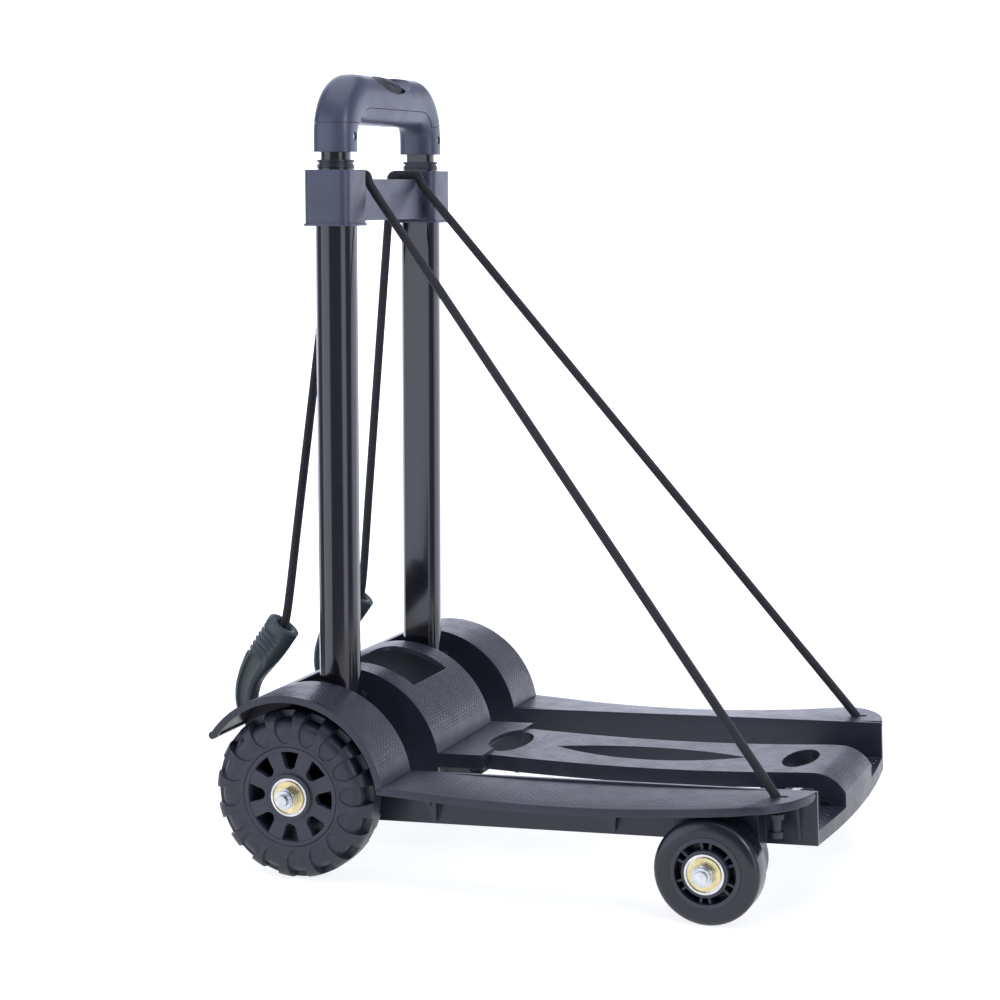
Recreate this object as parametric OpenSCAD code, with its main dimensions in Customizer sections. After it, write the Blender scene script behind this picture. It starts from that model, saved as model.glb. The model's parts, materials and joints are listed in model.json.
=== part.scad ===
// Folding luggage cart: platform on four wheels, folding telescopic mast, two hooked elastic cords.
// +X is across the cart, -Y is forwards to the nose, +Z is up from the floor.

/* [Platform] */
// Half width of the platform over the fenders
deck_half = 150; // [146:1:154]
// Height of the deck above the rear axle, square to the deck
deck_h = 10.8; // [9:0.2:13]
// Length from the rear axle to the nose corners
nose_f = 345; // [335:1:355]
// How far the middle of the nose bows out past its corners
nose_bow = 5.5; // [3:0.5:8]
// Nose-up tilt of the deck in degrees
tilt = 2.29; // [1.5:0.1:3]
// Depth of the side webs below the deck
web_depth = 35.2; // [32:0.2:38]
// Wall thickness of the moulding
wall = 3.2; // [2.4:0.2:4]
// Outer radius of the fenders and arch about the rear axle
arch_r = 68.6; // [67:0.2:72]
// Half width of the beam down the middle of the deck
beam_half = 41; // [36:1:44]
// Depth of the beam's side walls
beam_depth = 10; // [9:0.5:14]

/* [Wheels] */
// Radius of the rear tyres
rear_r = 56.6; // [55:0.2:58]
// Width of the rear tyres
rear_w = 33; // [28:1:34]
// Radius of the rear hubs
rear_hub_r = 33.3; // [32.5:0.1:35]
// Radius of the front tyres
front_r = 34.2; // [33:0.2:36]
// Width of the front tyres
front_w = 24; // [20:1:26]
// Radius of the front hubs
front_hub_r = 22.8; // [21:0.2:24]
// Distance from the rear axle to the front axle bolts
wheelbase = 284.6; // [280:1:290]
// Radius of the rear axle and of the front axle bolts
axle_r = 4; // [3:0.5:5]

/* [Mast] */
// Distance from the centre of the cart to each mast tube
mast_x = 74; // [72:1:76]
// How far the mast tubes stand forward of the rear axle
mast_f = 4.4; // [3:0.2:5]
// Height of the collar's top above the floor
collar_top = 468; // [460:1:480]
// Height of the handle's top above the floor
handle_top = 532; // [528:1:540]
// Outside radius of the lower mast tubes
tube_r = 14; // [13.6:0.1:14.4]
// Distance from a tube's centre to its flat side
tube_flat = 10.5; // [10:0.1:11]
// Travel of each telescopic stage
stage_travel = 230; // [200:5:230]

/* [Cords] */
// Radius of the elastic cords
cord_r = 3; // [2:0.25:3.5]
// Sideways distance from the middle to each cord's hole in the nose
anchor_x = 120; // [112:1:124]
// Sideways distance from the middle to each hook
hook_x = 65; // [62:1:68]

/* [Hidden] */
$fn = 64;

// The rear axle's place along the cart, which centres the cart on the origin
axle_y = 136.3;
deck_colour = [0.11, 0.12, 0.15];
hub_colour = [0.13, 0.13, 0.17];
tyre_colour = [0.1, 0.1, 0.13];
tube_colour = [0.07, 0.08, 0.1];
handle_colour = [0.16, 0.17, 0.21];
plug_colour = [0.25, 0.26, 0.28];
yellow_zinc = [0.8, 0.76, 0.5];
deck_t = 3.5;
web_x = 100.5;
web_wall = 3;
web_bottom = deck_h - web_depth;
arch_half = 52;
arch_in = arch_r - wall;
tail_deg = 143.7;
crease_f = sqrt(arch_r * arch_r - deck_h * deck_h);
step_f = 100.6;
plate_top = -15;
collar_depth = 9;
nose_rib_f = 332;
plate_f = 292;
bow_r = (web_x * web_x + nose_bow * nose_bow) / (2 * nose_bow);
front_f = wheelbase * cos(tilt) - (rear_r - front_r) * sin(tilt);
front_h = -wheelbase * sin(tilt) - (rear_r - front_r) * cos(tilt);
lug_half = 29;
lug_x = 121;
anchor_f = 323;
anchor_boss_r = 6.5;
cord_gap = 0.6;
running = 0.05;
boss_x = 113.5;
rear_face = boss_x + 1 + rear_w + 1;
front_face = lug_x + 2 + front_w + 3;
cup_r = 12.9;
window_in = 18.4;
window_out = 30.3;
rim_in = 19.9;
lip_bead = 2.6;
lip_r = arch_r - 1.6;

// ---- Frames ----

// The platform's own frame: origin on the rear axle, tilted nose up
module place_base() translate([0, axle_y, rear_r]) rotate([-tilt, 0, 0]) children();

// Floor frame with the origin below the rear axle
module place_floor() translate([0, axle_y, 0]) children();

// Turns a side outline drawn as (forward, up) into a slab from x0 to x1
module slab(x0, x1) translate([x1, 0, 0]) rotate([90, 0, -90]) linear_extrude(x1 - x0) children();

// The same shape on the left for s = -1 and on the right for s = 1
module side(s) mirror([s < 0 ? 1 : 0, 0, 0]) children();

module both() for (s = [-1, 1]) side(s) children();

// A cylinder along X from x0 to x1
module rod_x(r, x0, x1) translate([x0, 0, 0]) rotate([0, 90, 0]) cylinder(r = r, h = x1 - x0);

// A rectangle with round corners, centred
module round_rect(w, d, r) {
  square([w - 2 * r, d], center = true);
  square([w, d - 2 * r], center = true);
  for (x = [-1, 1], y = [-1, 1]) translate([x * (w / 2 - r), y * (d / 2 - r)]) circle(r);
}

// A D-shaped section with its flat side towards -X
module d_section(r, flat) intersection() {
  circle(r);
  translate([-flat, -2 * r]) square([4 * r, 4 * r]);
}

// ---- Platform ----

// How far the deck sags below its plane at a distance forward of the axle
function beam_sag(f) = 6 * sin(180 * (f - 70) / 320);
function inner_sag(f) = f > 70 && f < nose_f ? 2 * sin(180 * (f - 70) / (nose_f - 70)) : 0;
function outer_sag(f) = f > 72 && f < 312 ? 6.4 * pow(sin(180 * (f - 72) / 240), 0.8) : 0;

// Where the flange's outer edge runs: straight, then round to the nose corner
function flange_half(f) =
  f < 305 ? deck_half : web_x + (deck_half - web_x) * sqrt(max(0.004, 1 - pow((f - 305) / 39.6, 2)));

module tail_sector() polygon([
  [0, 0], [120 * cos(tail_deg), 120 * sin(tail_deg)], [-120, 120], [0, 120]]);

// Side outline of the fender and arch skin
module arch_skin(r_in) intersection() {
  difference() {
    circle(arch_r, $fn = 96);
    circle(r_in, $fn = 96);
  }
  union() {
    tail_sector();
    translate([0, deck_h - deck_t]) square(120);
  }
}

// Side outline of the walls under the arch
module arch_wall() intersection() {
  circle(arch_r - 1, $fn = 96);
  polygon([[-52, 38], [-20, web_bottom], [crease_f, web_bottom], [crease_f, 200], [-52, 200]]);
}

beam_fs = [for (i = [0:24]) step_f - 4 + i * (nose_f + 6 - step_f + 4) / 24];

// Side outline of the beam: the sagging top and a depth below it, rounded down at the nose
module beam_outline(top_drop, depth, nose_r) {
  f_end = nose_f + nose_bow + 2 - top_drop;
  top_end = deck_h - beam_sag(nose_f - nose_r) - top_drop;
  polygon(concat(
    [for (f = beam_fs) if (f < f_end - nose_r) [f, deck_h - beam_sag(f) - top_drop]],
    [for (a = [90:-10:0]) [f_end - nose_r + nose_r * cos(a), top_end - nose_r + nose_r * sin(a)]],
    [[f_end, web_bottom], [f_end - depth, web_bottom]],
    [[f_end - depth, top_end - nose_r], [f_end - nose_r, top_end - depth]],
    [for (i = [len(beam_fs) - 1:-1:0]) let (f = beam_fs[i])
      if (f < f_end - nose_r) [f, deck_h - beam_sag(f) - top_drop - depth]]));
}

// Plan outline that cuts the nose to its bow
module bow_cut() translate([0, bow_r - nose_f - nose_bow, -60]) cylinder(r = bow_r, h = 200, $fn = 360);

module oval(len, wid) polygon([for (a = [0:7.5:352.5]) [len / 2 * cos(a), wid / 2 * sin(a)]]);

// Outline of the oval hand holes and the long slot in the beam, each grown by g
module beam_holes(g) {
  translate([0, -102.5]) oval(59 + 2 * g, 26 + 2 * g);
  translate([0, -310.5]) oval(52 + 2 * g, 23 + 2 * g);
  translate([0, -204.6]) intersection() {
    translate([119, 0]) circle(137 + g, $fn = 180);
    translate([-119, 0]) circle(137 + g, $fn = 180);
  }
}

// Walls that hang below the beam round its holes
module hole_collars() intersection() {
  slab(-beam_half, beam_half) beam_outline(1, collar_depth, 24);
  translate([0, 0, -40]) linear_extrude(80) beam_holes(2.4);
}

module deck_openings() {
  translate([0, 0, -40]) linear_extrude(80) beam_holes(0);
  // Opening in the top of the arch
  translate([0, -18.5, 45]) linear_extrude(40) union() {
    translate([0, -6]) square([62, 37], center = true);
    round_rect(62, 49, 12);
  }
}

// The slot that a mast tube stands in and folds through
module mast_slot() translate([arch_half, -2 * nose_f, 0]) cube([web_x - arch_half, 2 * nose_f + 14, 200]);

// A V-shaped pair of ribs outside each web, under the flange
module gusset_pair(f) difference() {
  slab(web_x + 1, web_x + 14) for (m = [-1, 1]) polygon([
    [f - m, web_bottom + 2], [f + m, web_bottom + 2], [f + m, web_bottom + 8],
    [f - 4 * m, deck_h - 3], [f - 7 * m, deck_h - 3]]);
  translate([web_x + 4, -f - 20, web_bottom - 1]) rotate([0, 23, 0]) cube([40, 40, 60]);
}

// Tapered rib outside each web, just behind the nose corner
module nose_rib() translate([0, -nose_rib_f, 0]) rotate([90, 0, 0]) linear_extrude(2.6) polygon([
  [web_x + 1, web_bottom + 3], [web_x + 4, web_bottom + 3],
  [web_x + 10, deck_h - 3], [web_x + 1, deck_h - 3]]);

module front_lug() difference() {
  translate([0, -front_f, front_h]) slab(web_x + 1, lug_x) {
    intersection() {
      circle(lug_half);
      translate([-40, -14]) square([80, 60]);
    }
    translate([-lug_half + 1, 0]) square([2 * lug_half - 2, deck_h - front_h - deck_t]);
    translate([-13, -18]) square([26, 12]);
  }
  translate([0, -front_f, front_h]) rod_x(axle_r + running, web_x - 10, lug_x + 1);
}

// Fenders, arch and the panel behind the masts, with a thicker rim and a rounded tail lip
module fender_shell() {
  difference() {
    union() {
      slab(-deck_half, deck_half) arch_skin(arch_in);
      both() slab(deck_half - 3.5, deck_half) arch_skin(arch_in - 1.4);
    }
    both() mast_slot();
  }
  rotate([-tail_deg, 0, 0]) translate([0, -lip_r, 0])
    rod_x(lip_bead, -deck_half + 0.6, deck_half - 0.6);
}

// Walls along both sides of each mast's channel
module channel_walls() both() {
  slab(web_x, web_x + web_wall) {
    arch_wall();
    translate([0, web_bottom]) square([nose_f, deck_h - web_bottom - 0.5]);
  }
  slab(arch_half - web_wall, arch_half) {
    arch_wall();
    translate([60, deck_h - beam_depth]) square([step_f - 60, beam_depth - 0.4]);
  }
}

// Ribs, bosses and studs moulded on the walls
module wall_details() both() {
  for (f = [86, 211]) gusset_pair(f);
  nose_rib();
  front_lug();
  rod_x(10, web_x + 1, boss_x);
  rod_x(9, arch_half - 8, arch_half - 1);
  translate([0, -13.5, 50]) rod_x(2.6, arch_half - 1, arch_half + 3.5);
  translate([0, -13.5, 50]) rod_x(2.6, web_x - 3.5, web_x + 1);
}

// Sagging beam down the middle, with the wide plate between it and the arch
module beam() {
  translate([-arch_half, -step_f, deck_h - deck_t]) cube([2 * arch_half, step_f - 60, deck_t]);
  both() translate([beam_half - 3, -step_f, deck_h - beam_depth])
    cube([arch_half - beam_half, 3, beam_depth - 1]);
  intersection() {
    union() {
      slab(-beam_half, beam_half) beam_outline(0, 3.2, 24);
      both() slab(beam_half - 3, beam_half) beam_outline(0.4, beam_depth, 24);
    }
    bow_cut();
  }
  for (f = [122, 290]) translate([1 - beam_half, -f, deck_h - beam_depth - 4])
    cube([2 * beam_half - 2, 2.6, beam_depth - 1]);
}

// Low cross-member at the nose, hollow underneath
module nose_member() intersection() {
  difference() {
    translate([-web_x - 2, -nose_f - 10, web_bottom])
      cube([2 * web_x + 4, nose_f + 10 - plate_f, plate_top - web_bottom]);
    for (i = [0:3]) translate([-web_x + 3 + i * 49.7, -nose_f + 2, web_bottom - 1])
      cube([44.5, nose_f - plate_f - 5, plate_top - web_bottom - 2.2]);
  }
  bow_cut();
}

module platform() color(deck_colour) place_base() difference() {
  union() {
    fender_shell();
    channel_walls();
    wall_details();
    beam();
    hole_collars();
    nose_member();
  }
  deck_openings();
  rod_x(axle_r, -200, 200);
  both() translate([0, -front_f, front_h]) rod_x(axle_r + running, web_x - 10, lug_x + 1);
}

flange_fs = [for (i = [0:12]) crease_f - 4 + i * (305 - crease_f + 4) / 12];
nose_fs = [for (a = [10:10:90]) 305 + 39.5 * sin(a)];

// One ring of the flange's section, from the web out to the rolled edge
function flange_ring(f) = let (
  xo = flange_half(f), zi = deck_h - inner_sag(f), zo = deck_h - outer_sag(f),
  x1 = web_x + web_wall + 0.2,
  lip = min(5.5, (xo - x1) * 0.8), out = max(xo, x1 + 1.4)) [
  [x1, -f, zi], [out - 1.2, -f, zo], [out - 0.35, -f, zo - 0.4], [out, -f, zo - 1.3],
  [out, -f, zo - lip], [out - 0.9, -f, zo - lip - 0.2], [x1, -f, zi - 3]];

// Side flange of the deck: level at the web, drooping along its outer edge
module flange_shell() {
  rings = [for (f = concat(flange_fs, nose_fs)) flange_ring(f)];
  n = len(rings[0]);
  m = len(rings);
  polyhedron(
    points = [for (ring = rings, p = ring) p],
    faces = concat(
      [[for (j = [n - 1:-1:0]) j]],
      [for (i = [0:m - 2], j = [0:n - 1]) let (k = (j + 1) % n)
        [i * n + j, i * n + k, (i + 1) * n + k, (i + 1) * n + j]],
      [[for (j = [0:n - 1]) (m - 1) * n + j]]),
    convexity = 6);
}

// The flange has a boss below it for the cord's hole
module deck_flange(s) color(deck_colour) place_base() side(s) difference() {
  union() {
    flange_shell();
    translate([anchor_x, -anchor_f, deck_h - 9]) cylinder(r = anchor_boss_r, h = 7.5);
  }
  translate([anchor_x, -anchor_f, -20]) linear_extrude(60) {
    circle(cord_r + cord_gap);
    translate([-2.4, -5.4]) square([4.8, 5.4]);
    translate([0, -5.4]) circle(2.4);
  }
}

// ---- Wheels ----

module hex_nut(r, h, bore) difference() {
  union() {
    intersection() {
      cylinder(r = r, h = h * 0.68, $fn = 6);
      cylinder(r = r * 0.96, h = h * 0.68);
    }
    cylinder(r = r * 0.8, h = h);
  }
  translate([0, 0, -1]) cylinder(r = bore, h = h + 2);
}

module ring_x(r, r_in, x0, x1) difference() {
  rod_x(r, x0, x1);
  rod_x(r_in, x0 - 1, x1 + 1);
}

// The rear axle also carries the mast, so it runs right through the platform
module rear_axle() color("silver") place_floor() translate([0, 0, rear_r])
  rod_x(axle_r, -rear_face - 12.5, rear_face + 12.5);

module rear_nuts() color("silver") place_floor() both() translate([rear_face + 0.6, 0, rear_r])
  rotate([0, 90, 0]) hex_nut(7.6, 7.6, axle_r);

module rear_washers() color(yellow_zinc) place_floor() both() translate([0, 0, rear_r])
  ring_x(10.6, axle_r, rear_face - 1.2, rear_face + 0.5);

module rear_spacers() color(yellow_zinc) place_floor() both() translate([0, 0, rear_r])
  ring_x(8, axle_r, boss_x + 0.05, boss_x + 0.8);

// A wheel's steel cups, one pressed into each face of its hub
module wheel_cups(face, width) {
  difference() {
    rod_x(cup_r, face - 7, face + 0.4);
    rod_x(cup_r - 1.3, face - 1.6, face + 1);
    rod_x(axle_r + running, face - 8, face + 1);
  }
  difference() {
    rod_x(cup_r, face - width, face - width + 5);
    rod_x(axle_r + running, face - width - 1, face - width + 6);
  }
}

module rear_cups(s) color("silver") side(s) place_floor()
  translate([0, 0, rear_r]) wheel_cups(rear_face, rear_w);

// Outline of one window in the rear hub, wide at the rim and round at the centre
module hub_window() intersection() {
  circle(window_out);
  union() {
    polygon([[window_in + 4, -4.1], [window_in + 4, 4.1], [window_out + 1, 7.1], [window_out + 1, -7.1]]);
    translate([window_in + 4.1, 0]) circle(4.1, $fn = 32);
  }
}

module rear_hub(s) color(hub_colour) side(s) place_floor() translate([0, 0, rear_r]) {
  x0 = rear_face - rear_w;
  difference() {
    union() {
      ring_x(rear_hub_r, window_out + 0.6, x0 + 1, rear_face - 1.5);
      ring_x(window_out + 1.2, cup_r + 1, rear_face - 7, rear_face - 2);
      ring_x(15.4, cup_r, x0, rear_face);
      ring_x(14, axle_r + 1.2, x0 + 5, rear_face - 7);
    }
    translate([rear_face - 8, 0, 0]) for (a = [0:45:315]) rotate([a + 90, 0, 0]) rotate([90, 0, 90])
      linear_extrude(12) hub_window();
  }
  // Spokes behind the windows
  for (a = [22.5:45:360]) rotate([a, 0, 0])
    translate([x0 + 2, -1.3, 13.5]) cube([rear_w - 9, 2.6, window_out - 13]);
}

// Half section of a tyre about the X axis: [x, radius] pairs with round shoulders
module tyre_profile(w, r, r_in, shoulder) polygon(concat(
  [[0, r_in], [0, r - shoulder]],
  [for (a = [0:15:90]) [shoulder * 0.55 * (1 - cos(a)), r - shoulder + shoulder * sin(a)]],
  [for (a = [90:-15:0]) [w - shoulder * 0.55 * (1 - cos(a)), r - shoulder + shoulder * sin(a)]],
  [[w, r_in]]));

module turn_about_x() rotate([0, 90, 0]) rotate_extrude($fn = 96) rotate(90) mirror([0, 1]) children();

module tyre(face, w, r, r_in, shoulder) translate([face - w, 0, 0])
  turn_about_x() tyre_profile(w, r, r_in, shoulder);

module rear_tyre(s) color(tyre_colour) side(s) place_floor() translate([0, 0, rear_r])
  tyre(rear_face - 1, rear_w - 1, rear_r, rear_hub_r, 9);

module front_place(s) side(s) place_floor() translate([0, -wheelbase, front_r]) children();

module front_bolts() color("silver") for (s = [-1, 1]) front_place(s) {
  rod_x(axle_r, web_x - 1, front_face + 9);
  translate([web_x - 6.5, 0, 0]) rotate([0, 90, 0]) cylinder(r = 7.5, h = 5.6, $fn = 6);
}

module front_nuts() color("silver") for (s = [-1, 1]) front_place(s) translate([front_face + 0.6, 0, 0])
  rotate([0, 90, 0]) hex_nut(7.6, 6.6, axle_r);

module front_washers() color(yellow_zinc) for (s = [-1, 1]) front_place(s)
  ring_x(10.6, axle_r, front_face - 1.2, front_face + 0.5);

module front_spacers() color(yellow_zinc) for (s = [-1, 1]) front_place(s)
  ring_x(8, axle_r, lug_x + 0.1, lug_x + 1.8);

module front_cups(s) color("silver") front_place(s) wheel_cups(front_face, front_w + 3);

module front_hub(s) color(hub_colour) front_place(s) {
  x1 = front_face - 1.5;
  ring_x(front_hub_r, rim_in, x1 - front_w + 1, x1);
  ring_x(rim_in + 0.4, cup_r + 1, x1 - 16, x1 - 12);
  ring_x(15, cup_r, x1 - front_w - 1.5, x1 + 1);
  for (a = [0:60:300], d = [-9, 9]) rotate([a + d, 0, 0])
    translate([x1 - 12.5, -0.8, 14]) cube([10.5, 1.6, rim_in - 13.5]);
}

module front_tyre(s) color(tyre_colour) front_place(s)
  tyre(front_face - 1.8, front_w, front_r, front_hub_r, 8);

// ---- Mast ----

tube_low = 74;
tube_high = collar_top - 2;
two_high = collar_top + 1.2;
// How much of each stage stays inside the one below it when drawn out
two_overlap = 135;
three_overlap = 111.2;
stage_two_low = tube_high - stage_travel - two_overlap;
stage_three_low = two_high - stage_travel - three_overlap;
two_r = 12.3;
two_flat = 8.8;
three_r = 10.1;
three_flat = 6.7;
tube_wall = 1.2;
three_high = handle_top - 28;
rod_low = stage_three_low + 17;
rod_r = 1.8;

// The mast's frame on one side: x = 0 at the tube's centre, its flat side towards the cart's middle
module mast_side(s) side(s) place_floor() translate([mast_x, -mast_f, 0]) children();

module d_tube(r, flat, z0, z1) translate([0, 0, z0]) linear_extrude(z1 - z0) difference() {
  d_section(r, flat);
  d_section(r - tube_wall, flat - tube_wall);
}

module mast_tube(s) color(tube_colour) mast_side(s) difference() {
  d_tube(tube_r, tube_flat, tube_low, tube_high);
  translate([0, -tube_r - 1, tube_low + 12]) rotate([-90, 0, 0]) cylinder(r = 2.1, h = 4 * tube_r);
}

// Plastic foot that hinges on the rear axle and plugs into the tube
module mast_foot(s) color([0.15, 0.16, 0.19]) mast_side(s) difference() {
  union() {
    translate([0, mast_f, rear_r]) rod_x(12.2, -18, 22);
    translate([-10.5, mast_f - 16, rear_r]) cube([24, 28, tube_low - rear_r - 0.1]);
    translate([0, 0, tube_low - 1]) linear_extrude(17)
      d_section(tube_r - tube_wall - 0.1, tube_flat - tube_wall - 0.1);
  }
  translate([0, mast_f, rear_r]) rod_x(axle_r + running, -30, 30);
  translate([0, -tube_r - 1, tube_low + 12]) rotate([-90, 0, 0]) cylinder(r = 2.1, h = 4 * tube_r);
}

module foot_pins() color("silver") for (s = [-1, 1]) mast_side(s) translate([0, -tube_r, tube_low + 12])
  rotate([-90, 0, 0]) cylinder(r = 2.1, h = 2 * tube_r);

module collar() color([0.13, 0.14, 0.17]) place_floor() {
  for (s = [-1, 1]) side(s) translate([mast_x + 1, -mast_f, 0]) difference() {
    union() {
      translate([0, 0, collar_top - 37]) linear_extrude(37) round_rect(34, 33, 6);
      translate([0, 0, collar_top - 37]) linear_extrude(1.6) round_rect(35.4, 34.4, 6);
    }
    translate([-1, 0, collar_top - 38]) linear_extrude(36.1) d_section(tube_r, tube_flat);
    translate([-1, 0, collar_top - 3]) linear_extrude(4) d_section(two_r + 0.4, two_flat + 0.4);
  }
  bridge_half = mast_x - 15;
  difference() {
    translate([-bridge_half, -mast_f - 8, collar_top - 34]) cube([2 * bridge_half, 16, 28]);
    translate([-bridge_half + 4, -mast_f - 5, collar_top - 36]) cube([2 * bridge_half - 8, 10, 26.5]);
  }
  // Ribs inside the bridge
  for (x = [-20, 20]) translate([x - 1.2, -mast_f - 6, collar_top - 34]) cube([2.4, 12, 26]);
}

module stage_two_tube(s) color(tube_colour) mast_side(s)
  d_tube(two_r, two_flat, stage_two_low, two_high);

// Guide bush on the second stage: two flanges with a neck between them
module stage_two_bush(s) color([0.12, 0.12, 0.15]) mast_side(s) {
  translate([0, 0, two_high]) linear_extrude(2.4) bush_ring(12.5);
  translate([0, 0, two_high + 2.4]) linear_extrude(1.6) bush_ring(11.6);
  translate([0, 0, two_high + 4]) linear_extrude(1.4) bush_ring(12.5);
}

// Section of the guide bush at the top of the second stage
module bush_ring(r) difference() {
  d_section(r, two_flat + 0.3);
  d_section(three_r + 0.08, three_flat + 0.08);
}

// Plug at the foot of a stage, with the sprung pin that locks it
module stage_plug(r, flat, z) {
  translate([0, 0, z - 9]) linear_extrude(8.9) d_section(r, flat);
  translate([0, 0, z - 1]) linear_extrude(13) d_section(r - tube_wall - 0.6, flat - tube_wall - 0.6);
}

module stage_two_plugs() color(plug_colour) for (s = [-1, 1]) mast_side(s)
  stage_plug(two_r, two_flat, stage_two_low);

module stage_three_tube(s) color(tube_colour) mast_side(s) difference() {
  d_tube(three_r, three_flat, stage_three_low, three_high);
  forward_rod(screw_r, 3, 20);
}

// A cylinder forwards from a handle leg's middle, at the screw's height
module forward_rod(r, f0, f1) translate([0, 0, screw_z]) rotate([90, 0, 0])
  translate([0, 0, f0]) cylinder(r = r, h = f1 - f0);

module stage_three_plugs() color(plug_colour) for (s = [-1, 1]) mast_side(s)
  stage_plug(three_r, three_flat, stage_three_low);

// ---- Handle ----

grip_low = 479.8;
grip_in = 498;
seam_z = 499.3;
leg_x = 12;
grip_depth = 29;
grip_bend = 34;
screw_z = 490;
screw_r = 1.6;
screw_head_r = 2.8;
screw_seat_f = 11.6;
button_f = 4;
button_w = 32;
button_d = 15;
thumb_r = 36;
spring_r = 3.6;
spring_turns = 4;
spring_low = grip_in + 3.3;
spring_high = handle_top - 20.7;

// Front outline of the handle, w wide, with round top corners and the finger gap below
module grip_outline(w, inset) difference() {
  union() {
    translate([-w / 2, grip_low + inset]) square([w, handle_top - grip_bend - grip_low]);
    intersection() {
      translate([0, handle_top - inset - grip_bend])
        round_rect(w, 2 * grip_bend, grip_bend - 0.1 - inset);
      translate([-w / 2, handle_top - grip_bend]) square([w, grip_bend]);
    }
  }
  translate([0, grip_in - 50 + inset]) round_rect(2 * (mast_x - leg_x + inset), 100, 16);
}

// Outer shape of the handle, shrunk by inset on every side
module grip_solid(inset) translate([0, -mast_f, 0]) intersection() {
  w = 2 * (mast_x + leg_x - inset);
  d = grip_depth - 2 * inset;
  translate([0, 50, 0]) rotate([90, 0, 0]) linear_extrude(100) grip_outline(w, inset);
  linear_extrude(1000) round_rect(w, d, 12.9 - inset);
  rotate([90, 0, 90]) linear_extrude(400, center = true)
    translate([0, handle_top - inset - 100]) round_rect(d, 200, 13 - inset);
}

// Front outline of the lower shell: the legs below the seam and the band under the grip
module lower_region() translate([0, 60, 0]) rotate([90, 0, 0]) linear_extrude(130) {
  translate([-100, 400]) square([200, seam_z - 400]);
  translate([0, 460]) round_rect(136, 100, 22);
}

module button_hole(gap) translate([0, -mast_f - button_f, handle_top - 12])
  linear_extrude(20) round_rect(button_w + 2 * gap, button_d + 2 * gap, 6);

module tube_sockets() for (s = [-1, 1]) side(s) translate([mast_x, -mast_f, 400])
  linear_extrude(three_high + 0.1 - 400) d_section(three_r, three_flat);

module handle_upper() color(handle_colour) place_floor() difference() {
  grip_solid(0);
  grip_solid(2.6);
  lower_region();
  tube_sockets();
  button_hole(0.4);
}

module handle_lower() color(handle_colour) place_floor() difference() {
  intersection() {
    grip_solid(0);
    lower_region();
  }
  difference() {
    grip_solid(2.6);
    translate([-100, -50, 400]) cube([200, 100, seam_z - 3 - 400]);
  }
  tube_sockets();
  screw_holes();
}

module screw_holes() both() translate([mast_x, -mast_f, 0]) {
  forward_rod(screw_r, 3, 20);
  forward_rod(screw_head_r + running, screw_seat_f, 20);
}

module handle_screws() color("silver") place_floor() both() translate([mast_x, -mast_f, 0]) {
  forward_rod(screw_r, three_r - 2, screw_seat_f + 0.5);
  forward_rod(screw_head_r, screw_seat_f, screw_seat_f + 1.5);
}

module thumb_button() color([0.06, 0.06, 0.08]) place_floor() {
  difference() {
    intersection() {
      button_hole(0);
      grip_solid(0.6);
    }
    translate([0, -mast_f - button_f, handle_top + thumb_r - 3]) rotate([90, 0, 0])
      cylinder(r = thumb_r, h = 40, center = true, $fn = 96);
  }
  translate([0, -mast_f - button_f, handle_top - 16])
    linear_extrude(6) round_rect(button_w + 3, button_d - 2, 6);
}

// Bar inside the grip that carries the button's push out to both rods
module release_yoke() color([0.3, 0.3, 0.32]) place_floor() difference() {
  union() {
    translate([-62, -mast_f - 4.5, handle_top - 20]) cube([124, 9, 3.9]);
    for (s = [-1, 1]) side(s) translate([mast_x, -mast_f, handle_top - 20]) cylinder(r = 3.2, h = 3.9);
    for (s = [-1, 1]) side(s) translate([58, -mast_f - 3, handle_top - 20]) cube([14, 6, 3.9]);
  }
}

module release_rod(s) color("silver") mast_side(s) translate([0, 0, rod_low])
  cylinder(r = rod_r, h = handle_top - 20.1 - rod_low);

// Coil spring that lifts the yoke and the button again
module button_spring() color("silver") place_floor() translate([0, -mast_f, 0]) swept_tube(
  [for (i = [0:12 * spring_turns]) let (t = i / (12 * spring_turns))
    [spring_r * cos(30 * i), spring_r * sin(30 * i), spring_low + t * (spring_high - spring_low)]],
  0.5, 8, [0, 0, 1]);

// ---- Cords and hooks ----

// A point part of the way from a to b
function between(a, b, t) = a + (b - a) * t;

cord_foot_f = 322.4;
nose_hole = [anchor_x, 321.6, 81];
bridge_front = [46, 15.7, 459.5];
bridge_rear = [46.4, -7.2, 458];
hook_mouth = [hook_x, -40.5, 158];
hook_lean = 35;

// Each cord's route on the right side, as [sideways, forward of the axle, height]
cord_route = concat(
  [for (z = [66, 74, 79]) [anchor_x, cord_foot_f, z]],
  [for (t = [0.012, 0.15, 0.4, 0.65, 0.88, 0.985]) between(nose_hole, bridge_front, t)],
  [[46, 15.7, 462], [46, 14.8, 464.4], [46, 12.4, 465.3], [46, 4.4, 465.3],
   [46, -3.6, 465.3], [46, -6, 464.4], [46, -6.9, 462]],
  [for (t = [0.015, 0.25, 0.5, 0.75, 0.97]) between(bridge_rear, hook_mouth, t)],
  [[hook_x, -43.5, 152.5], [hook_x, -50, 143.2]]);

function unit(v) = v / norm(v);
function lead(p, i) = unit(p[min(i + 1, len(p) - 1)] - p[max(i - 1, 0)]);

// Round rings of a tube along a route that never runs the way that across points
function tube_rings(p, r, n, across) = [for (i = [0:len(p) - 1]) let (
  d = lead(p, i), a = unit(cross(d, across)), b = cross(d, a))
  [for (k = [0:n - 1]) p[i] + r * (a * cos(360 * k / n) + b * sin(360 * k / n))]];

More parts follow.
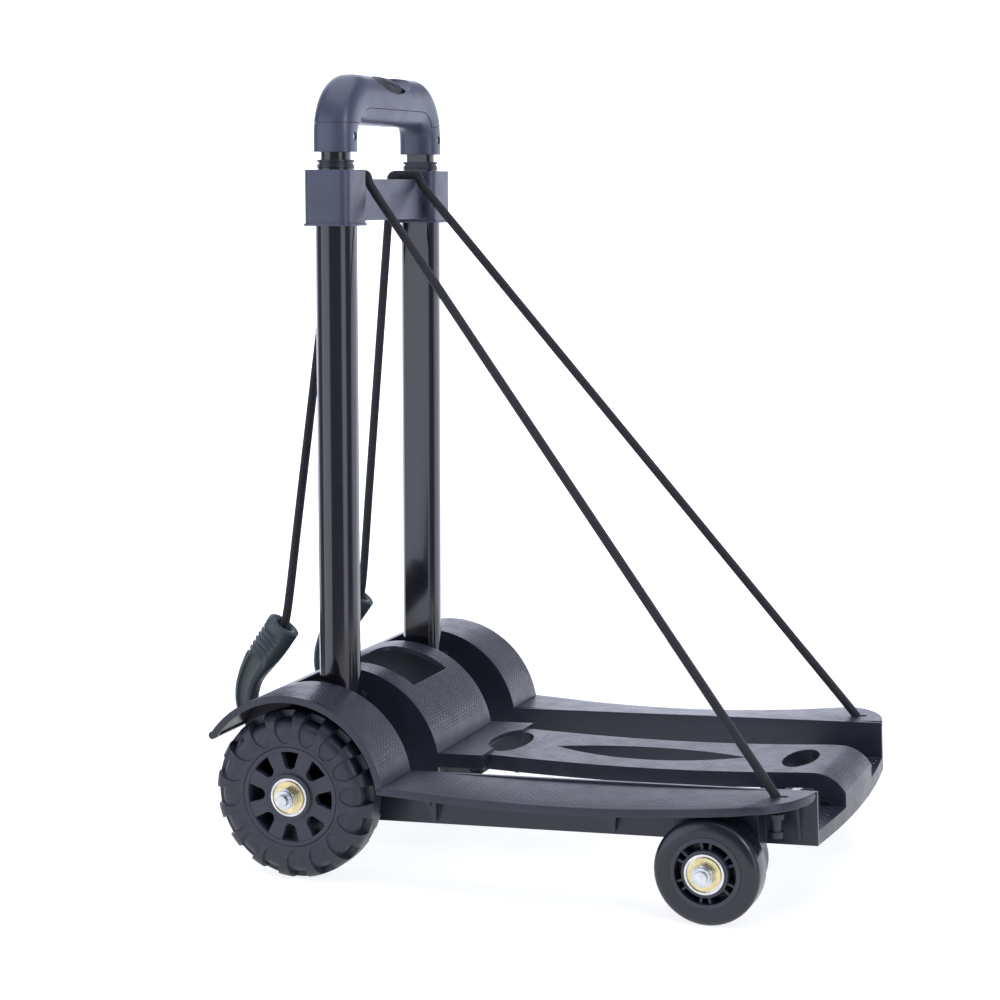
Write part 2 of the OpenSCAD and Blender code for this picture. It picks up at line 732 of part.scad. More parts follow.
module swept_tube(p, r, n, across) {
  rings = tube_rings(p, r, n, across);
  m = len(p);
  polyhedron(
    points = [for (ring = rings, q = ring) q],
    faces = concat(
      [[for (k = [0:n - 1]) k]],
      [for (i = [0:m - 2], k = [0:n - 1]) let (j = (k + 1) % n)
        [i * n + k, (i + 1) * n + k, (i + 1) * n + j, i * n + j]],
      [[for (k = [n - 1:-1:0]) (m - 1) * n + k]]),
    convexity = 10);
}

module cord(s) color([0.05, 0.05, 0.06]) side(s) place_floor()
  swept_tube([for (p = cord_route) [p[0], -p[1], p[2]]], cord_r, 10, [1, 0, 0]);

// Moulded plug on each cord's end, below the flange
module cord_plugs() color([0.09, 0.09, 0.11]) for (s = [-1, 1]) side(s) place_floor()
  translate([anchor_x, -cord_foot_f, 0]) {
    translate([0, 0, 54]) cylinder(r = 4.6, h = 4);
    translate([0, 0, 57.9]) cylinder(r = 3.4, h = 8);
    translate([0, 0, 65.8]) difference() {
      cylinder(r = 5.2, h = 3.6);
      translate([0, 0, 0.2]) cylinder(r = cord_r + 0.1, h = 4);
    }
  }

// The hook's middle line in (forward, up), with its half width at each point
hook_line = [
  [-41.8, 155.6, 12], [-49, 145.5, 12], [-56, 136, 12], [-62.5, 127, 10.5], [-68, 117.5, 8.6],
  [-71, 108, 7.8], [-71.6, 98, 6.8], [-69, 88.5, 5.8], [-63.4, 82, 5], [-56, 79.8, 4.4],
  [-49.8, 82.4, 3.8], [-46.6, 87.6, 3]];

function hook_edge(side_sign) = [for (i = [0:len(hook_line) - 1]) let (
  p = hook_line[i], a = hook_line[max(i - 1, 0)], b = hook_line[min(i + 1, len(hook_line) - 1)],
  d = unit([b[0] - a[0], b[1] - a[1]]))
  [p[0] - side_sign * d[1] * p[2], p[1] + side_sign * d[0] * p[2]]];

module hook(s) color([0.2, 0.25, 0.27]) side(s) place_floor() difference() {
  union() {
    slab(hook_x - 7, hook_x + 7) polygon(concat(
      hook_edge(1), [for (i = [len(hook_line) - 1:-1:0]) hook_edge(-1)[i]]));
    slab(hook_x - 9, hook_x + 9) polygon([
      for (i = [0:3]) hook_edge(0.8)[i], for (i = [3:-1:0]) hook_edge(-0.8)[i]]);
  }
  // Socket for the cord
  translate([hook_x, 50, 143.2]) rotate([hook_lean, 0, 0]) cylinder(r = cord_r + 0.15, h = 40);
  translate([hook_x, 43.5, 152.5]) rotate([hook_lean, 0, 0]) cylinder(r = 6, h = 20);
}

platform();
deck_flange(-1);  // deck_flange_left
deck_flange(1);  // deck_flange_right
rear_axle();
rear_nuts();
rear_washers();
rear_spacers();
rear_hub(-1);  // rear_hub_left
rear_hub(1);  // rear_hub_right
rear_tyre(-1);  // rear_tyre_left
rear_tyre(1);  // rear_tyre_right
rear_cups(-1);  // rear_cups_left
rear_cups(1);  // rear_cups_right
front_bolts();
front_nuts();
front_washers();
front_spacers();
front_hub(-1);  // front_hub_left
front_hub(1);  // front_hub_right
front_tyre(-1);  // front_tyre_left
front_tyre(1);  // front_tyre_right
front_cups(-1);  // front_cups_left
front_cups(1);  // front_cups_right
mast_foot(-1);  // mast_foot_left
mast_foot(1);  // mast_foot_right
mast_tube(-1);  // mast_tube_left
mast_tube(1);  // mast_tube_right
foot_pins();
collar();
stage_two_tube(-1);  // stage_two_tube_left
stage_two_tube(1);  // stage_two_tube_right
stage_two_bush(-1);  // stage_two_bush_left
stage_two_bush(1);  // stage_two_bush_right
stage_two_plugs();
stage_three_tube(-1);  // stage_three_tube_left
stage_three_tube(1);  // stage_three_tube_right
stage_three_plugs();
handle_upper();
handle_lower();
handle_screws();
thumb_button();
release_yoke();
release_rod(-1);  // release_rod_left
release_rod(1);  // release_rod_right
button_spring();
cord_plugs();
cord(-1);  // cord_left
cord(1);  // cord_right
hook(-1);  // hook_left
hook(1);  // hook_right
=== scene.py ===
"""Looks of the folding luggage cart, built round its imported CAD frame.

Lengths are in millimetres until MM turns them into metres. x runs across the cart, f forward of the rear
axle, and z up from the floor.
"""
import json
import math

import bmesh
import bpy
import numpy as np
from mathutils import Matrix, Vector

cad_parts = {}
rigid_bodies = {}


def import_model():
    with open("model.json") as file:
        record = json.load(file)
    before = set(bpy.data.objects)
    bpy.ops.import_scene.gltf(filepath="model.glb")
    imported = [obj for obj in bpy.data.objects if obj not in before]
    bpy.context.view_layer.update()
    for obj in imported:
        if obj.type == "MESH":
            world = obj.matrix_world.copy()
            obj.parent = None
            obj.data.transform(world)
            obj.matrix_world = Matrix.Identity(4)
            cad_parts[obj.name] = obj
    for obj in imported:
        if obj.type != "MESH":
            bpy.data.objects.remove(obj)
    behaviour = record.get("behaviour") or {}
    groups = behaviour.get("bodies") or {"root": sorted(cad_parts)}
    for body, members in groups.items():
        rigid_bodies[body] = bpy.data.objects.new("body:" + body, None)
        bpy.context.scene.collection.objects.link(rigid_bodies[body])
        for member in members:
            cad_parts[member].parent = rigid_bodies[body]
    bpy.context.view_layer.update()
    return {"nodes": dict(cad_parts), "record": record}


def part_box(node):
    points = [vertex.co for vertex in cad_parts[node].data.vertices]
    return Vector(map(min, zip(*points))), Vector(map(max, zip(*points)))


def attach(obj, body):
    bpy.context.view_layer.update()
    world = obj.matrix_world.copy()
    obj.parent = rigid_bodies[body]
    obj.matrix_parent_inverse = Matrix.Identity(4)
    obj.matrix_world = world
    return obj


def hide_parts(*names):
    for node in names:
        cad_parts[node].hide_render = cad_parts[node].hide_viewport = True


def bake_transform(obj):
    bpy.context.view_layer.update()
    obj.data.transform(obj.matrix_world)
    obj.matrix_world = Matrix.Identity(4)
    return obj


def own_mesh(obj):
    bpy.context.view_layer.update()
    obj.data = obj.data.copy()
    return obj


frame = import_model()

MM = 0.001
AXLE = [c / MM for c in (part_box("rear_axle")[0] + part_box("rear_axle")[1]) / 2]  # in the frame's own axes
TILT = math.radians(2.29)   # slope of the platform, rising towards the nose
ARCH_R = 68.6               # top of the arch and the fenders, from the rear axle
CREASE_F = 67.7             # where they meet the deck
MAST_X, MAST_F = 74.0, 4.4  # middle of each mast tube
HANDLE_TOP = 532.0


def at(x, f, z):
    """The place of a point, in the metres of the frame."""
    return (x * MM, (AXLE[1] - f) * MM, z * MM)


def smooth(t):
    t = np.clip(t, 0, 1)
    return t * t * (3 - 2 * t)


def squarish(t, power):
    """A sine or cosine pushed outwards, which turns a circle into a superellipse."""
    return math.copysign(abs(t) ** power, t)


# ---- Meshes ----


def piece(name, points, faces, body, slot, replaces=(), sharp=34):
    """A new piece of the cart, crisp where it turns by more than sharp degrees. body may be None until later."""
    mesh = bpy.data.meshes.new(name)
    mesh.from_pydata([tuple(p) for p in points], [], faces)
    mesh.update()
    mesh.shade_smooth()
    made = bpy.data.objects.new(name, mesh)
    bpy.context.collection.objects.link(made)
    mesh.materials.append(MATERIALS[slot])
    made.modifiers.new("edges", "EDGE_SPLIT").split_angle = math.radians(sharp)
    if body:
        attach(made, body)
    if replaces:
        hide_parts(*replaces)
    return made


def skin(rows, along=False):
    """Quads between closed rows of equally many points: along joins the last row to the first."""
    count, size = len(rows), len(rows[0])
    faces = []
    for i in range(count if along else count - 1):
        a, b = i * size, (i + 1) % count * size
        for j in range(size):
            k = (j + 1) % size
            faces.append((a + j, a + k, b + k, b + j))
    return faces


def ring(size, first=0, turned=False):
    face = tuple(range(first, first + size))
    return face[::-1] if turned else face


def capped(rows):
    """Faces of a tube through the rows, closed at both ends."""
    size = len(rows[0])
    return skin(rows) + [ring(size, turned=True), ring(size, (len(rows) - 1) * size)]


def flat(rows):
    return [p for row in rows for p in row]


def level_normals(mesh):
    work = bmesh.new()
    work.from_mesh(mesh)
    bmesh.ops.recalc_face_normals(work, faces=work.faces)
    work.to_mesh(mesh)
    work.free()


# ---- Materials ----


class Nodes:
    """Shader nodes while they are being put together."""

    def __init__(self, tree):
        self.tree = tree

    def put(self, socket, value):
        if isinstance(value, bpy.types.NodeSocket):
            self.tree.links.new(value, socket)
        else:
            socket.default_value = value

    def node(self, kind, inputs=None, **settings):
        made = self.tree.nodes.new("ShaderNode" + kind)
        for key, value in settings.items():
            setattr(made, key, value)
        for key, value in (inputs or {}).items():
            self.put(made.inputs[key], value)
        return made

    def math(self, operation, *values):
        made = self.node("Math", operation=operation)
        for socket, value in zip(made.inputs, values):
            self.put(socket, value)
        return made.outputs[0]

    def sum(self, *values):
        total = values[0]
        for value in values[1:]:
            total = self.math("ADD", total, value)
        return total

    def times(self, *values):
        total = values[0]
        for value in values[1:]:
            total = self.math("MULTIPLY", total, value)
        return total

    def remap(self, value, low, high, to_low=0.0, to_high=1.0):
        inputs = {0: value, 1: low, 2: high, 3: to_low, 4: to_high}
        return self.node("MapRange", inputs, interpolation_type="SMOOTHSTEP").outputs[0]

    def within(self, value, low, high, soft):
        """1 where value lies between low and high, falling to 0 over soft."""
        rise = self.remap(value, low - soft, low)
        fall = self.remap(value, high, high + soft, 1.0, 0.0)
        return self.times(rise, fall)

    def wave(self, value, period):
        """A sine of value, from -1 to 1."""
        return self.math("SINE", self.math("MULTIPLY", value, math.tau / period))


class Shader(Nodes):
    """A surface material while it is being put together."""

    def __init__(self, name):
        self.material = bpy.data.materials.new(name)
        self.material.use_nodes = True
        super().__init__(self.material.node_tree)
        self.surface = self.tree.nodes["Principled BSDF"]
        self.place = self.node("TexCoord").outputs["Object"]
        self.normal = self.node("NewGeometry").outputs["Normal"]

    def axes(self):
        """The three coordinates, in millimetres."""
        split = self.node("SeparateXYZ", {0: self.place})
        return [self.math("MULTIPLY", out, 1 / MM) for out in split.outputs]

    def noise(self, size, detail=3.0, place=None):
        """Noise whose features are about size millimetres across."""
        inputs = {"Vector": place or self.place, "Scale": 1 / (size * MM), "Detail": detail}
        return self.node("TexNoise", {**inputs, "Roughness": 0.55}).outputs["Fac"]

    def bump(self, height, depth, normal=None):
        """Raises the surface by height times depth millimetres."""
        inputs = {"Height": height, "Distance": depth * MM, "Strength": 1.0}
        if normal is not None:
            inputs["Normal"] = normal
        return self.node("Bump", inputs).outputs[0]

    def rounded(self, radius):
        """Normals as if the edges had this radius."""
        return self.node("Bevel", {"Radius": radius * MM}, samples=4).outputs[0]

    def mix(self, share, a, b):
        made = self.node("Mix", {0: share}, data_type="RGBA")
        self.put(made.inputs[6], a)
        self.put(made.inputs[7], b)
        return made.outputs[2]

    def edge_wear_and_highlight(self, rounded):
        """1 along outer edges, lightened partly as wear and partly as a painted edge highlight, 0 on the flats.
        """
        dot = self.node("VectorMath", {0: rounded, 1: self.normal}, operation="DOT_PRODUCT")
        worn_and_lit = self.remap(dot.outputs["Value"], 0.97, 0.8)
        return self.times(worn_and_lit, self.remap(self.noise(9, 4), 0.35, 0.65))

    def finish(self, color, roughness, normal, **others):
        self.put(self.surface.inputs["Base Color"], color)
        self.put(self.surface.inputs["Roughness"], roughness)
        self.put(self.surface.inputs["Normal"], normal)
        for key, value in others.items():
            self.put(self.surface.inputs[key.replace("_", " ")], value)
        return self.material


def shade(color, k):
    return tuple(c * k for c in color[:3]) + (1.0,)


EMBOSS_DEPTH = 0.55                               # of the platform's pattern
FENDER_X, RAIL_X = (104.5, 145.6), (104.5, 144)   # patterned bands to each side of the middle
ARCH_X, BEAM_X = 47.7, 38.1                       # half widths of the arch and of the beam ahead of it
PLATE_F = 120                                     # front of the ribbed plate by the arch
FLOOR_F = (294, 342)                              # the checked floor of the nose


def deck_place(s):
    """x, and the f and h of the tilted platform, both from the rear axle."""
    x, y, z = s.axes()
    ahead = s.math("SUBTRACT", AXLE[1], y)
    above = s.math("SUBTRACT", z, AXLE[2])
    f = s.sum(s.times(ahead, math.cos(TILT)), s.times(above, math.sin(TILT)))
    h = s.math("SUBTRACT", s.times(above, math.cos(TILT)), s.times(ahead, math.sin(TILT)))
    return x, f, h


def deck_regions(s, f, h):
    """Shares of 0 to 1 that say what belongs to the arch, to the deck and to the floor of the nose."""
    radius = s.math("SQRT", s.sum(s.times(f, f), s.times(h, h)))
    up = s.node("SeparateXYZ", {0: s.normal}).outputs[2]
    on_arch = s.times(s.remap(f, CREASE_F - 1, CREASE_F - 7), s.remap(radius, ARCH_R - 0.9, ARCH_R - 0.5))
    on_deck = s.times(
        s.remap(f, CREASE_F + 2, CREASE_F + 2.5), s.remap(up, 0.3, 0.5), s.remap(h, -6.0, -4.0))
    on_floor = s.times(
        s.remap(f, FLOOR_F[0] - 1, FLOOR_F[0]), s.remap(up, 0.9, 0.95),
        s.remap(h, -12, -14), s.remap(f, FLOOR_F[1] + 1, FLOOR_F[1]))
    return on_arch, on_deck, on_floor


def deck_emboss(s):
    """Height of the platform's pattern: a lattice on the tops, ribs by the arch, checks on the nose."""
    x, f, h = deck_place(s)
    side = s.math("ABSOLUTE", x)
    on_arch, on_deck, on_floor = deck_regions(s, f, h)
    angle = s.math("ARCTAN2", f, h)
    along = s.sum(s.times(angle, ARCH_R, on_arch), s.times(f, s.math("SUBTRACT", 1.0, on_arch)))
    lattice = s.remap(s.times(s.wave(x, 5.0), s.wave(along, 4.2)), -0.1, 0.35)
    ribs = s.remap(s.wave(x, 3.0), -0.4, 0.4)
    checks = s.remap(s.times(s.wave(x, 8.6), s.wave(f, 8.0)), -0.15, 0.15)
    fender = s.within(side, *FENDER_X, 0.5)
    rail = s.within(side, *RAIL_X, 1.0)
    arch = s.remap(side, ARCH_X + 0.5, ARCH_X)
    beam = s.remap(side, BEAM_X + 0.5, BEAM_X)
    plate = s.times(s.remap(f, PLATE_F + 2, PLATE_F - 1), arch)
    tops = s.times(lattice, s.math("MAXIMUM", rail, beam), s.remap(f, PLATE_F, PLATE_F + 3))
    near = s.sum(s.times(lattice, rail, s.remap(f, PLATE_F + 3, PLATE_F)), s.times(ribs, plate))
    return s.sum(
        s.times(on_arch, lattice, s.math("MAXIMUM", fender, arch)),
        s.times(on_deck, s.sum(tops, near)),
        s.times(on_floor, checks, 4.0))


def moulded(name, color, roughness, grain=0.35, depth=0.012, emboss=None, edge=0.5):
    """Moulded plastic: fine grain, slight colour drift, and edges painted lighter, partly as rubbed wear and
    partly as a painted edge highlight.
    """
    s = Shader(name)
    rounded = s.rounded(edge)
    drift = s.remap(s.noise(60, 4), 0.3, 0.7)
    worn_and_lit = s.edge_wear_and_highlight(rounded)
    base = s.mix(drift, shade(color, 0.86), shade(color, 1.16))
    # Outer edges painted lighter: partly wear, partly a painted edge highlight.
    base = s.mix(s.times(worn_and_lit, 0.55), base, shade(color, 2.72))
    normal = s.bump(s.noise(grain, 2), depth, rounded)
    blotches = s.remap(s.noise(14, 5), 0.3, 0.75, roughness - 0.04, roughness + 0.07)
    rough = s.sum(blotches, s.times(worn_and_lit, -0.06))
    if emboss:
        height = emboss(s)
        normal = s.bump(height, EMBOSS_DEPTH, normal)
        # The raised pattern is also painted lighter: a painted highlight on its ridges.
        base = s.mix(s.times(height, 0.4), base, shade(color, 1.9))
    return s.finish(base, rough, normal)


def painted(name, color):
    """Gloss black paint on drawn steel tube, with faint lengthwise waviness and dust."""
    s = Shader(name)
    stretched = s.node("Mapping", {"Vector": s.place, "Scale": (1, 1, 0.03)}).outputs[0]
    dust = s.remap(s.noise(3.5, 6), 0.6, 0.8)
    rough = s.sum(s.remap(s.noise(30, 3, stretched), 0.3, 0.7, 0.1, 0.17), s.times(dust, 0.08))
    normal = s.bump(s.noise(5, 2, stretched), 0.02, s.bump(s.noise(1.1, 2), 0.0035, s.rounded(0.35)))
    base = s.mix(s.times(dust, 0.35), color, shade(color, 3.0))
    return s.finish(base, rough, normal, Coat_Weight=0.35, Coat_Roughness=0.06)


REAR_THREAD_X, FRONT_THREAD_X = 154, 151.6  # where the threads of the rear axle and the front bolts begin
FRONT_BOLT_Z = 44                           # between the front bolts below and the rear axle above


def thread_ends(s):
    """Height of the threads on the ends of the rear axle and of the front bolts."""
    x, _, z = s.axes()
    side = s.math("ABSOLUTE", x)
    rear = s.remap(side, REAR_THREAD_X, REAR_THREAD_X + 0.3)
    low = s.remap(z, FRONT_BOLT_Z + 2, FRONT_BOLT_Z)
    front = s.times(s.remap(side, FRONT_THREAD_X, FRONT_THREAD_X + 0.3), low)
    return s.times(s.wave(side, 1.25), s.math("MAXIMUM", rear, front))


def metal(name, color, roughness, thread=False):
    """Plated or drawn metal with fine marks, and a thread on the axle and bolt ends where asked."""
    s = Shader(name)
    normal = s.bump(s.noise(0.5, 4), 0.006, s.rounded(0.3))
    if thread:
        normal = s.bump(thread_ends(s), 0.09, normal)
    spots = s.remap(s.noise(6, 4), 0.3, 0.75)
    base = s.mix(spots, shade(color, 0.82), shade(color, 1.08))
    rough = s.remap(s.noise(1.6, 4), 0.3, 0.7, roughness - 0.05, roughness + 0.08)
    return s.finish(base, rough, normal, Metallic=1.0)


def tyre_material(name, color):
    """Semi-hard tread: matt, finely pitted, dusty, and lighter along the edges, partly as rubbing and partly as
    a painted edge highlight.
    """
    s = Shader(name)
    rounded = s.rounded(0.4)
    dust = s.remap(s.noise(7, 6), 0.45, 0.8)
    base = s.mix(s.times(dust, 0.5), color, shade(color, 1.9))
    # Edges painted lighter: partly rubbed wear, partly a painted edge highlight.
    base = s.mix(s.times(s.edge_wear_and_highlight(rounded), 0.5), base, shade(color, 2.4))
    normal = s.bump(s.noise(0.45, 3), 0.014, rounded)
    return s.finish(base, s.remap(s.noise(5, 4), 0.3, 0.7, 0.36, 0.5), normal)


BRAID_PITCH, STRANDS = 3.2, 8  # length of a strand's repeat, and strands each way round


def braid(name, color):
    """Braided sheath: two sets of strands cross at a slant, read from the cord's own length and turn."""
    s = Shader(name)
    uv = s.node("SeparateXYZ", {0: s.node("UVMap").outputs[0]})
    length, turn = uv.outputs[0], uv.outputs[1]
    along = s.times(length, math.tau / BRAID_PITCH)
    slants = (s.times(turn, way * math.tau * STRANDS) for way in (1, -1))
    left, right = (s.math("SINE", s.sum(along, slant)) for slant in slants)
    raised_and_lit = s.remap(s.times(left, right), -0.5, 0.6)
    fibre = s.noise(0.16, 3)
    # Raised strands painted lighter and the hollows between them darker: painted light and shade of the weave.
    base = s.mix(raised_and_lit, shade(color, 0.5), shade(color, 1.7))
    normal = s.bump(fibre, 0.05, s.bump(raised_and_lit, 0.22))
    rough = s.remap(fibre, 0.3, 0.7, 0.62, 0.82)
    return s.finish(base, rough, normal, Sheen_Weight=0.12, Sheen_Roughness=0.5)


MATERIALS = {
    "deck_plastic": moulded("deck_plastic", (0.017, 0.02, 0.032), 0.34, emboss=deck_emboss, edge=1.0),
    "zinc_steel": metal("zinc_steel", (0.68, 0.7, 0.72), 0.24, thread=True),
    "yellow_zinc": metal("yellow_zinc", (0.78, 0.68, 0.36), 0.28),
    "hub_plastic": moulded("hub_plastic", (0.026, 0.029, 0.044), 0.4, grain=0.3),
    "tyre_plastic": tyre_material("tyre_plastic", (0.017, 0.02, 0.031, 1.0)),
    "front_tyre": moulded("front_tyre", (0.011, 0.013, 0.02), 0.2, grain=0.8, depth=0.006, edge=0.8),
    "cup_steel": metal("cup_steel", (0.74, 0.74, 0.72), 0.16),
    "foot_plastic": moulded("foot_plastic", (0.02, 0.022, 0.03), 0.45),
    "tube_paint": painted("tube_paint", (0.006, 0.0065, 0.009, 1.0)),
    "pin_steel": metal("pin_steel", (0.6, 0.6, 0.6), 0.3),
    "collar_plastic": moulded("collar_plastic", (0.05, 0.058, 0.09), 0.36, depth=0.008, edge=0.8),
    "bush_plastic": moulded("bush_plastic", (0.014, 0.015, 0.02), 0.33),
    "plug_plastic": moulded("plug_plastic", (0.05, 0.05, 0.055), 0.45),
    "handle_plastic": moulded("handle_plastic", (0.052, 0.06, 0.094), 0.33, grain=0.28, depth=0.012),
    "button_plastic": moulded("button_plastic", (0.012, 0.013, 0.017), 0.42, grain=0.5, depth=0.02),
    "cord_fabric": braid("cord_fabric", (0.0075, 0.0078, 0.011, 1.0)),
    "cord_plug_plastic": moulded("cord_plug_plastic", (0.02, 0.022, 0.03), 0.4),
    "hook_plastic": moulded("hook_plastic", (0.036, 0.05, 0.056), 0.4, grain=0.4),
}


def dress_cad():
    """Gives every CAD node its material, and smooth shading up to sharp edges.

    The front tyres share a slot with the rear ones, but are glossier.
    """
    for row in frame["record"]["subparts"]:
        node = frame["nodes"][row["node"]]
        node.data.materials.clear()
        look = "front_tyre" if row["node"].startswith("front_tyre") else row["material_slot"]
        node.data.materials.append(MATERIALS[look])
        node.data.shade_smooth()
        node.modifiers.new("weld", "WELD").merge_threshold = 0.001 * MM
        node.modifiers.new("edges", "EDGE_SPLIT").split_angle = math.radians(28)


# ---- Rear tyres ----

POCKETS, POCKET_WALL = 16, 0.35  # round each half of the tread, and how far their walls slope
TYRE_WIDTH = 32
TREAD_PHASE = math.radians(5)
# Half of the tread's section: distance in from a face, radius, and a pocket's half width and depth there.
TREAD = [
    (0.8, 33.35, 0, 0), (0.0, 34.0, 0, 0), (0.0, 35.4, 0, 0), (0.0, 36.1, 1.6, 0), (0.1, 36.4, 1.6, 0.7),
    (0.0, 38.0, 3.2, 0.8), (0.0, 40.0, 4.6, 0.95), (0.0, 42.0, 5.6, 1.05), (0.0, 43.5, 6.0, 1.1),
    (0.0, 46.5, 6.2, 1.3), (0.35, 49.1, 6.2, 1.9), (1.2, 51.5, 6.1, 2.8), (2.6, 53.6, 6.0, 3.7),
    (4.5, 55.2, 5.8, 4.4), (6.7, 56.2, 5.5, 4.8), (9.0, 56.5, 5.3, 4.8), (10.3, 56.6, 5.2, 4.6),
    (10.8, 56.6, 5.2, 0), (12.5, 56.6, 0, 0), (14.5, 56.6, 0, 0)]


def tread_turns(radius, half, staggered):
    """Angles of one pocket's ten columns, and which of them lie on its floor."""
    pitch = math.tau / POCKETS
    if half == 0:
        turns = [(k - 5) * pitch / 10 for k in range(10)]
    else:
        w, e, side = half / radius, (half + POCKET_WALL) / radius, pitch / 2
        turns = [-side, -(side + e) / 2, -e, -w, -w / 2, 0, w / 2, w, e, (e + side) / 2]
    floor = [3 <= k <= 7 for k in range(10)]
    if staggered:
        turns = [t - pitch / 2 for t in turns[5:]] + [t + pitch / 2 for t in turns[:5]]
        floor = floor[5:] + floor[:5]
    return turns, floor


def tread_row(face, sign, index, staggered):
    """One row of points round the tyre. The pockets of its inner half are staggered by half a pocket."""
    across, radius, half, depth = TREAD[index]
    before, after = TREAD[max(index - 1, 0)], TREAD[min(index + 1, len(TREAD) - 1)]
    du, dr = after[0] - before[0], after[1] - before[1]
    length = math.hypot(du, dr) or 1.0
    inward = (dr / length, -du / length)
    turns, floor = tread_turns(radius, half, staggered)
    row = []
    for k in range(POCKETS):
        for turn, low in zip(turns, floor):
            a = k * math.tau / POCKETS + turn + TREAD_PHASE
            u = across + (inward[0] * depth if low else 0)
            r = radius + (inward[1] * depth if low else 0)
            x = face - u if not staggered else face - TYRE_WIDTH + u
            row.append(at(sign * x, r * math.cos(a), AXLE[2] + r * math.sin(a)))
    return row


def rear_tyre(side, sign):
    name, count = "rear_tyre_" + side, len(TREAD)
    face = abs(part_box(name)[0 if sign < 0 else 1][0]) / MM
    rows = [tread_row(face, sign, i, False) for i in range(count)]
    rows += [tread_row(face, sign, i, True) for i in reversed(range(count))]
    faces, body = skin(rows, along=True), "rear_wheel_" + side
    piece("tread_" + side, flat(rows), faces, body, "tyre_plastic", [name])


# ---- Handle ----

GRIP_LOW = 479.8                   # foot of the legs
SEAM_Z, BAND_Z = 499.3, 509.6      # tops of the lower shell on the legs and under the grip
BAND_X = 67.6                      # half width of the lower shell under the grip
LEG_HALF, TOP_HALF = 12, 17        # half thickness of a leg and of the grip
DEEP_HALF = 14.5                   # and of both from front to back
GRIP_BEND = 25.0                   # radius between them
WALL, WALL_LOW = 2.6, 489.0        # thickness of the shells, and where the hollow in them begins
LOWER_INSET, SEAM_GAP = 0.18, 0.3  # how far the lower shell stands back from the upper one
SCOOP_HALF = (34.0, 17.0, 15.5)    # half sizes of the thumb hollow's ellipsoid
SCOOP_F, SCOOP_Z = MAST_F + 11.0, HANDLE_TOP + 3.5
SCOOP_WALL = 2.0
BUTTON_F = 3.5                     # middle of the button, ahead of the mast's
SCREW_Z, SCREW_R, SCREW_SEAT_F = 490, 2.9, 11.6


def working_copy(name, mesh):
    """An object that only helps to shape a piece, and is removed after it."""
    made = bpy.data.objects.new(name, mesh)
    bpy.context.collection.objects.link(made)
    made["working"] = True
    return made


def working_solid(name, points, faces):
    mesh = bpy.data.meshes.new(name)
    mesh.from_pydata([at(*p) for p in points], [], faces)
    level_normals(mesh)
    return working_copy(name, mesh)


def carved(start, *steps):
    """The mesh of start after boolean steps with other working solids."""
    for operation, other in steps:
        change = start.modifiers.new("step", "BOOLEAN")
        change.operation = operation
        change.object = other
        change.solver = "EXACT"
    shaped = start.evaluated_get(bpy.context.evaluated_depsgraph_get())
    mesh = bpy.data.meshes.new_from_object(shaped)
    start.modifiers.clear()
    return mesh


def prism(name, outline, axis, low, high):
    """Extrudes an outline of (x, z) along f, or of (x, f) along z."""
    n = len(outline)
    if axis == "f":
        points = [(x, low, z) for x, z in outline] + [(x, high, z) for x, z in outline]
    else:
        points = [(x, f, low) for x, f in outline] + [(x, f, high) for x, f in outline]
    sides = [(i, (i + 1) % n, n + (i + 1) % n, n + i) for i in range(n)]
    return working_solid(name, points, [ring(n, turned=True), ring(n, n)] + sides)


def round_outline(x, y, r, cy, steps=8):
    """A rectangle of half sizes x and y about (0, cy), with round corners of radius r."""
    corners = [(x - r, y - r, 0), (r - x, y - r, 90), (r - x, r - y, 180), (x - r, r - y, 270)]
    outline = []
    for px, py, start in corners:
        for k in range(steps + 1):
            a = math.radians(start + 90 * k / steps)
            outline.append((px + r * math.cos(a), cy + py + r * math.sin(a)))
    return outline


def grip_ring(x, z, out_x, out_z, out_half, deep_half, size=72):
    """One superellipse ring of the handle, square to its path."""
    row = []
    for k in range(size):
        u = squarish(math.cos(math.tau * k / size), 0.77) * out_half
        v = squarish(math.sin(math.tau * k / size), 0.77) * deep_half
        row.append([x + out_x * u, MAST_F + v, z + out_z * u])
    return row


def grip_rows(inset, low):
    """Rings from one leg's foot up over the grip and down the other leg."""
    top, deep = HANDLE_TOP - TOP_HALF, DEEP_HALF - inset
    bend_x, bend_z = MAST_X - GRIP_BEND, top - GRIP_BEND
    half = [grip_ring(MAST_X, z, 1, 0, LEG_HALF - inset, deep) for z in np.linspace(low, bend_z, 6)]
    for a in np.radians(np.arange(5, 90, 5)):
        c, s = math.cos(a), math.sin(a)
        out = LEG_HALF + (TOP_HALF - LEG_HALF) * float(smooth(math.degrees(a) / 90)) - inset
        half.append(grip_ring(bend_x + GRIP_BEND * c, bend_z + GRIP_BEND * s, c, s, out, deep))
    middle = [grip_ring(x, top, 0, 1, TOP_HALF - inset, deep) for x in np.linspace(bend_x, 0, 40)]
    half += middle[:-1]
    other = [[[-p[0], p[1], p[2]] for p in row] for row in half]
    return half + [middle[-1]] + other[::-1]


def grip_solid(name, inset, low):
    rows = grip_rows(inset, low)
    return working_solid(name, flat(rows), capped(rows))


def thumb_hollow(name, grown, size=96):
    """Ellipsoid that scoops the thumb hollow out of the grip's front top edge."""
    x_half, f_half, z_half = (half + grown for half in SCOOP_HALF)
    turns = np.linspace(0, math.tau, size + 1)[:-1]
    rows = []
    for a in np.radians(np.linspace(-88, 88, 45)):
        r, z = math.cos(a), SCOOP_Z + z_half * math.sin(a)
        rows.append([(x_half * r * math.cos(t), SCOOP_F + f_half * r * math.sin(t), z) for t in turns])
    return working_solid(name, flat(rows), capped(rows))


def slab(name, x_half, radius, top, half=60):
    """A block up to top that goes right through the handle from front to back."""
    return prism(name, round_outline(x_half, half, radius, top - half), "f", -60, 80)


